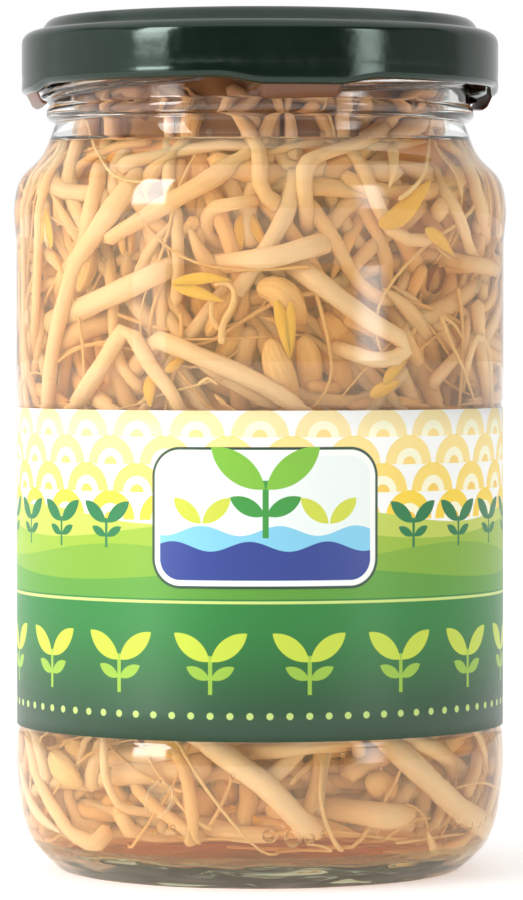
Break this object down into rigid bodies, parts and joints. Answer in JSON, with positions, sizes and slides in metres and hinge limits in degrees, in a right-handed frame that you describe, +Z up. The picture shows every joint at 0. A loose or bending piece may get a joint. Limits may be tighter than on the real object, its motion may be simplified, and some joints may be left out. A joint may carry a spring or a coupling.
{
  "type": "jar of bean sprouts",
  "caption": "Round glass jar of pickled bean sprouts in brine, with a dark green twist-off lid and a wrap-round paper label.",
  "frame": {"origin": "centre of the flat bearing ring that the jar stands on", "axes": "+Z up along the jar's axis, -Y the front, where the young leaves and the hull at the shoulder show"},
  "size_m": [0.0724, 0.0724, 0.1247],
  "materials": {
    "glass": "clear moulded soda-lime glass",
    "lid_paint": "satin dark green lacquer on tinplate, beige inside",
    "sealing_compound": "matte flowed-in sealing ring",
    "label_paper": "semi-gloss printed paper, no lettering",
    "brine": "clear pale amber brine",
    "sprout": "wet translucent cream stems, peach seed leaves and golden young leaves",
    "seed_coat": "thin olive seed coat with a dark edge"
  },
  "bodies": {
    "jar_body": {"jar": "glass", "label": "label_paper", "brine": "brine", "sprout_tangle": "sprout", "sprout_top_arch": "sprout", "sprout_top_back": "sprout", "sprout_top_cross": "sprout", "sprout_top_high": "sprout", "seed_hull_shoulder": "seed_coat", "seed_hull_neck": "seed_coat"},
    "lid_rise": {"lid_compound": "sealing_compound"},
    "lid_cap": {"lid": "lid_paint"}
  },
  "joints": [
    {"name": "lid_lift", "type": "slide", "parent": "jar_body", "child": "lid_rise", "axis": [0, 0, 1], "range_m": [0, 0.002]},
    {"name": "lid_turn", "type": "hinge", "parent": "lid_rise", "child": "lid_cap", "pos_m": [0, 0, 0.118], "axis": [0, 0, 1], "range_deg": [0, 66]}
  ],
  "couplings": [
    {"joint": "lid_lift", "follows": "lid_turn", "m_per_rad": 0.0017189}
  ]
}
